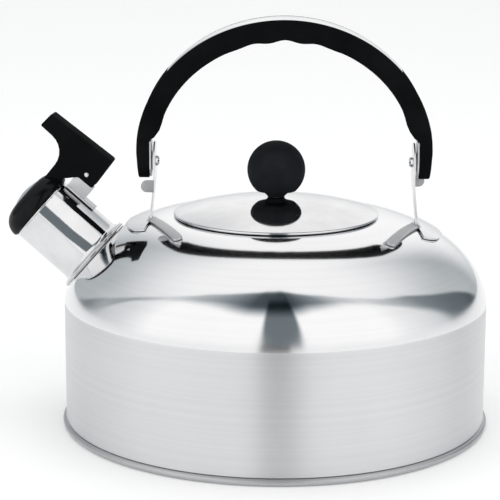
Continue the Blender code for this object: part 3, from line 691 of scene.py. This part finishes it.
def makeKnob():
    radius = knob["radius"]
    centre = knobHigh.z - radius
    lowAngle = degrees(atan2(knobLow.z - centre, knob["flat"]))
    steps = 56
    ball = []
    for i in range(steps + 1):
        angle = 90 + (lowAngle - 90) * i / steps
        # a faint parting line below the middle
        size = radius - knob["partLine"] * max(0, 1 - abs(angle + 4) / 1.4)
        ball.append((max(size * cos(radians(angle)), 0), centre + size * sin(radians(angle))))
    ball[0] = (0, centre + radius)
    base = [
        (knob["flat"] - 0.5, knobLow.z), (knob["insert"], knobLow.z),
        (knob["insert"], knobLow.z + knob["depth"]), (0, knobLow.z + knob["depth"])
    ]
    finishPiece(
        turned("knob_ball", ball + base, 128, closed=False), "lid", ["lid_knob"], blackKnob, 50
    )

    low, high = boxOf("knob_collar")
    bore, wide = lid["screwHole"], high.x
    outline = [(bore, high.z), (wide - 0.3, high.z)] + arcPoints((wide - 0.5, high.z - 0.5), 0.5, 60, 0, 4)
    outline += [
        (wide, low.z + 1.4), (wide - 0.25, low.z + 1.1), (wide * 0.82, low.z + 0.75), (wide * 0.8, low.z),
        (bore, low.z)
    ]
    finishPiece(turned("knob_foot", outline, 96), "lid", ["knob_collar"], blackKnob, 50)


handle = {
    "span": 75.8, "rise": 73.8, "depth": 10.7, "width": 24, "archBase": 5.5, "legEnd": 8.8,
    "notch": 69.4, "notchHeight": 12.2, "wave": 0.7, "pitch": 17, "edge": 2.4,
    "stripReach": 52, "stripWidth": 20, "stripSeat": 1.0, "stripCrown": 0.5, "stripEdge": 0.75,
}
handleFrame = handleTurn @ Matrix.Translation(pivot)


def archPoints(halfWidth, height, start, end, count, wave=0.0):
    points = []
    reach = 2.3 * handle["pitch"]
    for i in range(count):
        t = radians(start + (end - start) * i / (count - 1))
        x, z = halfWidth * cos(t), handle["archBase"] + height * sin(t)
        if wave and abs(x) < reach:
            z += wave * cos(2 * pi * x / handle["pitch"]) * cos(pi / 2 * x / reach) ** 2
        points.append((x, z))
    return points


def archBand(low, high, reach, count=61):
    height = handle["rise"] - handle["archBase"]
    start = 90 - reach
    under = archPoints(handle["span"] + low, height + low, start, 180 - start, count)
    over = archPoints(handle["span"] + high, height + high, 180 - start, start, count)
    return under + over


def makeGrip():
    span, foot, notch = handle["span"], -handle["legEnd"], handle["notch"]
    outerHeight = handle["rise"] - handle["archBase"]
    innerWidth, innerHeight = span - handle["depth"], outerHeight - handle["depth"]
    heel = span - 0.9
    right = [(notch, handle["notchHeight"]), (notch, foot + 0.6), (notch + 0.6, foot)]
    right += arcPoints((heel - 1.6, foot + 1.6), 1.6, -90, 0, 6)
    left = [(-x, z) for x, z in reversed(right)]
    knee = [
        (innerWidth + 3.0, handle["notchHeight"] + 0.5), (innerWidth + 1.2, handle["notchHeight"] + 1.5),
        (innerWidth + 0.3, handle["notchHeight"] + 2.9)
    ]
    inner = archPoints(innerWidth, innerHeight, 168, 12, 131, handle["wave"])
    outer = archPoints(span, outerHeight, 0, 180, 121)
    outline = outer + left + [(-x, z) for x, z in knee] + inner + list(reversed(knee)) + right
    grip = plate("bail_grip", outline, handle["width"], sideView)
    grip = softened(grip, handle["edge"], 5, 60)

    end, half, top = handle["legEnd"], handle["width"] / 2 + 1, handle["rise"] + 10
    shape = arcPoints((0, 0), end, 180, 360, 25)
    shape += [(end + (half - end) * (0.5 - 0.5 * cos(pi * i / 10)), 5 + 19 * i / 10) for i in range(11)]
    shape += [(half, top), (-half, top)]
    shape += [
        (-end - (half - end) * (0.5 - 0.5 * cos(pi * i / 10)), 5 + 19 * i / 10) for i in range(10, -1, -1)
    ]
    grip = combine(grip, plate("leg_shape", shape, 4 * span, endView), "INTERSECT")
    groove = archBand(-handle["stripSeat"] - gap, 8, handle["stripReach"] + 0.6)
    grip = combine(grip, plate("groove", groove, handle["stripWidth"] + 2 * gap, sideView))
    for side in (-1, 1):
        place = Matrix.Rotation(side * pi / 2, 4, "Y")
        grip = combine(grip, rod("bore", 2.25, notch - 4, notch + 3.7, place, 48))
    grip = softened(grip, 0.25, 2, 50)
    grip.data.transform(handleFrame)
    finishPiece(grip, "handle", ["handle_grip"], blackPhenolic, 40)


def makeStrip():
    # a crowned band swept along the top of the arch, its ends tucked down into the groove
    height = handle["rise"] - handle["archBase"]
    half, seat, crown = handle["stripWidth"] / 2, handle["stripSeat"], handle["stripCrown"]
    across, along = 20, 120
    reach = handle["stripReach"]
    mesh = bpy.data.meshes.new("grip_strip")
    points = []
    edge = handle["stripEdge"] - seat
    section = [
        (half * cos(pi * i / across), edge + (crown - edge) * sin(pi * i / across) ** 0.8)
        for i in range(across + 1)
    ]
    section[0] = (half, edge - 0.2)
    section[-1] = (-half, edge - 0.2)
    section += [(-half, -seat), (half, -seat)]
    for k in range(along + 1):
        angle = radians(90 - reach + 2 * reach * k / along)
        nearEnd = min(k, along - k) / along * 2 * reach  # degrees from the nearer end
        sink = max(0, 1 - nearEnd / 1.2) ** 2 * 0.3
        for y, rise in section:
            lift = rise - sink * (rise + seat) * 0.9
            points.append(
                ((handle["span"] + lift) * cos(angle), y, handle["archBase"] + (height + lift) * sin(angle))
            )
    count = len(section)
    faces = []
    for k in range(along):
        for i in range(count):
            j = (i + 1) % count
            faces.append((k * count + i, k * count + j, (k + 1) * count + j, (k + 1) * count + i))
    faces += [tuple(range(count)), tuple(along * count + i for i in reversed(range(count)))]
    mesh.from_pydata(points, [], faces)
    strip = settled(meshObject("grip_strip", mesh), 0.0001)
    strip.data.transform(handleFrame)
    finishPiece(strip, "handle", ["handle_strip"], fineMirror, 40)


bracket = {
    "span": 66.8, "lean": 2.0, "width": 20, "footReach": 12.8, "footWidth": 52, "foot": 1.0,
    "armInward": 16, "armAlong": 48,
    "armWidth": 4.8, "tabTop": 8.6, "tabHeight": 6.2, "tabReach": 6.6, "rivetBore": 2.25,
}


def drapedSheet(name, outline, lift, thickness, cell=1.6):
    # a flat outline cut into small cells, laid on the dome and given its thickness
    mesh = bpy.data.meshes.new(name)
    work = bmesh.new()
    work.faces.new([work.verts.new((x, y, 0)) for x, y in outline])
    xs = [x for x, y in outline]
    ys = [y for x, y in outline]
    for axis, low, high in ((0, min(xs), max(xs)), (1, min(ys), max(ys))):
        normal = Vector((1, 0, 0)) if axis == 0 else Vector((0, 1, 0))
        steps = int((high - low) / cell)
        for i in range(1, steps + 1):
            place = normal * (low + (high - low) * i / (steps + 1))
            geometry = work.verts[:] + work.edges[:] + work.faces[:]
            bmesh.ops.bisect_plane(work, geom=geometry, dist=0.01, plane_co=place, plane_no=normal)
    for vert in work.verts:
        vert.co.z = domeHeight(vert.co.xy.length) + lift
    bmesh.ops.recalc_face_normals(work, faces=work.faces)
    if sum(face.normal.z for face in work.faces) < 0:
        bmesh.ops.reverse_faces(work, faces=work.faces)
    work.to_mesh(mesh)
    work.free()
    made = meshObject(name, mesh)
    skin = made.modifiers.new("skin", "SOLIDIFY")
    skin.thickness = thickness
    skin.offset = 1
    made = settled(made, 0.0005)
    return softened(made, 0.22, 2, 50)


def footOutline(base, side):
    half = bracket["footWidth"] / 2
    points = [(base - 0.5, -bracket["width"] / 2 + 1)]
    points += [
        (base + bracket["footReach"] * cos(radians(t)), half * sin(radians(t))) for t in range(-82, 83, 4)
    ]
    points += [(base - 0.5, bracket["width"] / 2 - 1)]
    return [(pivot.x + side * x, y) for x, y in points]


def armOutline(base, side):
    start = Vector((pivot.x + side * (base - 0.4), (bracket["armWidth"] - bracket["width"]) / 2))
    end = Vector((pivot.x + side * (base - bracket["armInward"]), -bracket["armAlong"]))
    along = (end - start).normalized()
    across = Vector((-along.y, along.x)) * bracket["armWidth"] / 2
    radius = bracket["armWidth"] / 2
    points = [tuple(start + across), tuple(start - across)]
    turn = degrees(atan2(along.y, along.x))
    points += arcPoints(end, radius, turn - 90, turn + 90, 13)
    return points


def makeBracket(name, side):
    base = bracket["span"] + bracket["lean"]
    node = "bracket_" + name
    shoulder = domeHeight(abs(pivot.x + side * base))
    foot = drapedSheet(node + "_foot", footOutline(base, side), gap, bracket["foot"])
    foot.data.transform(handleTurn)
    finishPiece(foot, "kettle", [node], mirrorSteel)
    arm = drapedSheet(node + "_arm", armOutline(base, side), gap, bracket["foot"], 1.2)
    arm.data.transform(handleTurn)
    finishPiece(arm, "kettle", [node], dullSteel)

    half, width = sheet / 2, bracket["width"]
    bend, top = pivot.z - handle["legEnd"] - 1.5, pivot.z + width / 2
    low = shoulder + gap + bracket["foot"] / 2
    spine = [
        (base + 1.2 - half, low - 0.1), (base + 1.2 + half, low - 0.1), (base + 0.35 + half, low + 0.7),
        (base + half, low + 2.0)
    ]
    spine += [
        (bracket["span"] + half, bend), (bracket["span"] + half, top), (bracket["span"] - half, top),
        (bracket["span"] - half, bend)
    ]
    spine += [(base - half, low + 2.4), (base + 0.3 - half, low + 0.9)]
    spine = [(pivot.x + side * x, z) for x, z in spine]
    upright = plate(node + "_upright", spine, width + 8, sideView)
    face = [(-width / 2 - 3.4, low - 2), (width / 2 + 3.4, low - 2)]
    face += [
        (width / 2 + 3.4 * (1 - sin(radians(t))), low + 4.5 - 4.5 * cos(radians(t))) for t in range(0, 91, 15)
    ]
    face += arcPoints((0, pivot.z), width / 2 - 0.01, 0, 180, 41)
    face += [
        (-width / 2 - 3.4 * (1 - sin(radians(t))), low + 4.5 - 4.5 * cos(radians(t)))
        for t in range(90, -1, -15)
    ]
    across = Matrix.Translation((pivot.x + side * bracket["span"], 0, 0)) @ endView
    upright = combine(upright, plate("face", face, 30, across), "INTERSECT")

    middle = pivot.z - bracket["tabTop"] - bracket["tabHeight"] / 2
    reach, tall = bracket["span"] + bracket["tabReach"], bracket["tabHeight"]
    tab = arcPoints((reach - tall / 2, middle), tall / 2, -90, 90, 21)
    tab += [(bracket["span"], middle + tall / 2), (bracket["span"], middle - tall / 2)]
    tab = [(pivot.x + side * x, z) for x, z in tab]
    place = Matrix.Translation((0, side * (width / 2 + sheet / 2 - 0.1), 0)) @ sideView
    tabPiece = softened(plate(node + "_tab", tab, sheet, place), 0.15, 2, 55)
    tabPiece.data.transform(handleTurn)
    finishPiece(tabPiece, "kettle", [node], tabSteelPaintedShade)
    bore = Matrix.Translation((pivot.x, 0, pivot.z)) @ Matrix.Rotation(side * pi / 2, 4, "Y")
    upright = combine(
        upright, rod("bore", bracket["rivetBore"], bracket["span"] - 5, bracket["span"] + 2, bore, 48)
    )
    upright = softened(upright, 0.18, 2, 55)
    upright.data.transform(handleTurn)
    finishPiece(upright, "kettle", [node], paintedHighlightSteel)


print("building pieces")
makeBody()
makeBase()
makeNeck()
makeSleeve()
print("body and spout built")
makeCap()
makeLeverArm()
makeDiscs()
makeHingeBracket()
makeHingePin()
print("whistle built")
makeLid()
makeSkirt()
makeKnob()
print("lid built")
makeGrip()
makeStrip()
print("handle built")
for sideName, sideSign in (("left", -1), ("right", 1)):
    makeBracket(sideName, sideSign)
print("brackets built")

# small pieces kept from the frame
keptNodes = {
    "handle_tang_left": satinSteel, "handle_tang_right": satinSteel,
    "pivot_washer_left": dullSteel, "pivot_washer_right": dullSteel,
    "pivot_rivet_left": mirrorSteel, "pivot_rivet_right": mirrorSteel,
    "knob_insert": brass, "knob_screw": dullSteel, "knob_washer": dullSteel, "hinge_spring": dullSteel,
}
for nodeName, finish in keptNodes.items():
    kept = frame["nodes"][nodeName]
    kept.data.materials.clear()
    kept.data.materials.append(finish)
    kept.data.shade_smooth()
    kept.data.set_sharp_from_angle(angle=radians(35))

studio = {
    "floorSize": 12, "floorTone": 0.86, "floorGlow": 0.18, "overheadPower": 5, "white": 1.10, "panel": 1.17
}


def makeFloor():
    mesh = bpy.data.meshes.new("floor")
    half = studio["floorSize"] / 2
    mesh.from_pydata(
        [(-half, -half, 0), (half, -half, 0), (half, half, 0), (-half, half, 0)], [], [(0, 1, 2, 3)]
    )
    floor = meshObject("floor", mesh)
    made, tree, shader = newFinish(
        "floorPaint",
        {
            "Specular IOR Level": 0.0, "Roughness": 0.9,
            "Emission Color": (1, 1, 1, 1), "Emission Strength": studio["floorGlow"],
        },
    )
    spot, (x, y, z) = tree.place()
    tone = studio["floorTone"]
    cloudy = tree.noise(spot, 3, 3, 0.5)
    tree.feed(shader.inputs["Base Color"], tree.tint(cloudy, (tone - 0.01,) * 3, (tone + 0.01,) * 3))
    mesh.materials.append(made)


tent = {
    # how bright the tent is round the kettle, by degrees from the front, below its bright roof
    "sides": (
        (-180, 0.56), (-150, 0.44), (-119, 0.50), (-86, 0.76), (-65, 1.0), (72, 1.0), (94, 0.82), (122, 0.58),
        (150, 0.46), (180, 0.56)
    ),
    # the dark edge under the roof: degrees round, height of its top, depth and darkness
    "edge": (
        (-180, -10, 8, 0.0), (-140, -8, 8, 0.2), (-119, 6, 12, 0.62), (-104, 22, 18, 0.32), (-90, 38, 6, 0.5), (
            -78, 52, 8, 0.25
        ),
        (-65, 66, 15, 0.5), (-50, 74, 19, 0.66), (-38, 78, 23, 0.76), (-15, 82, 32, 0.92), (20, 83, 33, 0.95), (
            35, 81, 25, 0.86
        ),
        (51, 76, 19, 0.74), (65, 71, 15, 0.46), (78, 61, 13, 0.25), (90, 50, 15, 0.4), (104, 42, 26, 0.66), (
            116, 30, 36, 0.72
        ),
        (130, 18, 34, 0.74), (139, 8, 24, 0.8), (150, -4, 16, 0.4), (180, -12, 8, 0.0),
    ),
    "rearTurn": (148, 170), "rearHeight": (-12, 16),  # the bright wall behind the kettle
    "lowest": -20, "span": 110, "roofFrom": 25, "roofTo": 72, "softTop": 4,
    "column": 9.5, "columnFrom": 9, "columnTo": 12.5, "columnDark": 0.82, "columnTop": (66, 76),
    "frontFrom": 66, "frontTo": 84, "frontTop": (50, 58), "seen": 1.1,
    "tint": (1.09, 1.0, 0.95),  # powers that turn the darker parts a little blue
}


def makeWorld():
    # a white tent with two bright front panels, a column between them and a dark edge under its roof
    world = bpy.data.worlds.new("tent")
    bpy.context.scene.world = world
    tree = Tree(world)
    ray = tree.node("ShaderNodeTexCoord").outputs["Generated"]
    split = tree.node("ShaderNodeSeparateXYZ", None, {0: ray})
    x, y, z = [Value(tree, split.outputs[i]) for i in range(3)]
    around = x.sum("ARCTAN2", 0 - y) * (180 / pi)  # 0 in front, positive to the right
    height = z.sum("ARCSINE") * (180 / pi)
    share = around / 360 + 0.5

    def overAround(stops):
        return tree.value(
            "ShaderNodeValToRGB", {"stops": [(degree / 360 + 0.5, value) for degree, value in stops]},
            {0: share}
        )

    sides = overAround(tent["sides"])
    shares = [(turn, (high - tent["lowest"]) / tent["span"]) for turn, high, _, _ in tent["edge"]]
    top = overAround(shares) * tent["span"] + tent["lowest"]
    depth = overAround([(turn, deep / 90) for turn, _, deep, _ in tent["edge"]]) * 90
    strength = overAround([(turn, dark) for turn, _, _, dark in tent["edge"]])
    below = (top - height) / depth  # 0 at the edge's top, 1 where it has faded out
    dark = strength * (top - height).step(-tent["softTop"] / 2, tent["softTop"] / 2)
    dark = dark * (1 - below.step(0.55, 1.15))
    column = 1 - abs(around - tent["column"]).step(tent["columnFrom"], tent["columnTo"])
    column = column * (1 - height.step(*tent["columnTop"]))
    front = (1 - abs(around).step(tent["frontFrom"], tent["frontTo"])) * (1 - height.step(*tent["frontTop"]))
    high = height.step(tent["roofFrom"], tent["roofTo"])
    rear = abs(around).step(*tent["rearTurn"]) * height.step(*tent["rearHeight"])
    level = sides + (1 - sides) * high
    level = level + (1 - level) * rear
    level = level * (studio["white"] + (studio["panel"] - studio["white"]) * front)
    level = level * (1 - dark) * (1 - tent["columnDark"] * column)
    seen = Value(tree, tree.node("ShaderNodeLightPath").outputs["Is Camera Ray"])
    level = level * (1 - seen) + seen * tent["seen"]
    channels = {name: level**power for name, power in zip(("Red", "Green", "Blue"), tent["tint"])}
    tree.feed(
        tree.nodes["Background"].inputs["Color"], tree.node("ShaderNodeCombineColor", None, channels).outputs[0]
    )


def makeCard(name, low, high, depth, tone):
    # a flat card that only reflections see
    mesh = bpy.data.meshes.new(name)
    mesh.from_pydata(
        [(low[0], depth, low[1]), (high[0], depth, low[1]), (high[0], depth, high[1]), (low[0], depth, high[1])],
        [], [(0, 1, 2, 3)]
    )
    card = meshObject(name, mesh)
    made, tree, shader = newFinish(
        name + "Card", {"Base Color": (tone, tone, tone, 1), "Roughness": 1.0, "Specular IOR Level": 0.0}
    )
    mesh.materials.append(made)
    card.visible_camera = False
    card.visible_diffuse = False
    card.visible_shadow = False


def makeLight(name, place, target, size, power):
    lamp = bpy.data.lights.new(name, "AREA")
    lamp.size = size
    lamp.energy = power
    made = bpy.data.objects.new(name, lamp)
    made.location = place
    made.rotation_euler = (Vector(target) - Vector(place)).to_track_quat("-Z", "Y").to_euler()
    made.visible_glossy = False
    made.visible_camera = False
    bpy.context.scene.collection.objects.link(made)


view = {
    "distance": 0.9651, "height": 0.3088, "around": 5.9, "tilt": 12.753, "pan": 0.796, "roll": 0.258,
    "lens": 136.5
}


def makeCamera():
    around, tilt = radians(view["around"]), radians(view["tilt"])
    heading = around + radians(view["pan"])
    camera = bpy.data.objects.new("camera", bpy.data.cameras.new("camera"))
    camera.data.lens = view["lens"]
    camera.data.sensor_width = 36
    forward = Vector((-sin(heading) * cos(tilt), cos(heading) * cos(tilt), -sin(tilt)))
    right = Vector((cos(heading), sin(heading), 0))
    up = right.cross(forward)
    roll = radians(view["roll"])
    level, upward = right * cos(roll) + up * sin(roll), up * cos(roll) - right * sin(roll)
    turn = Matrix((level, upward, -forward)).transposed().to_4x4()
    place = (view["distance"] * sin(around), -view["distance"] * cos(around), view["height"])
    camera.matrix_world = Matrix.Translation(place) @ turn
    bpy.context.scene.collection.objects.link(camera)
    bpy.context.scene.camera = camera


makeFloor()
makeWorld()
makeCard("frontGap", (-0.008, 0.001), (0.098, 0.09), -0.43, 0.02)
makeLight("overhead", (0.1, -0.1, 1.6), (0, 0, 0), 1.4, studio["overheadPower"])
makeCamera()
bpy.context.scene.view_settings.view_transform = "Standard"
print("studio built")
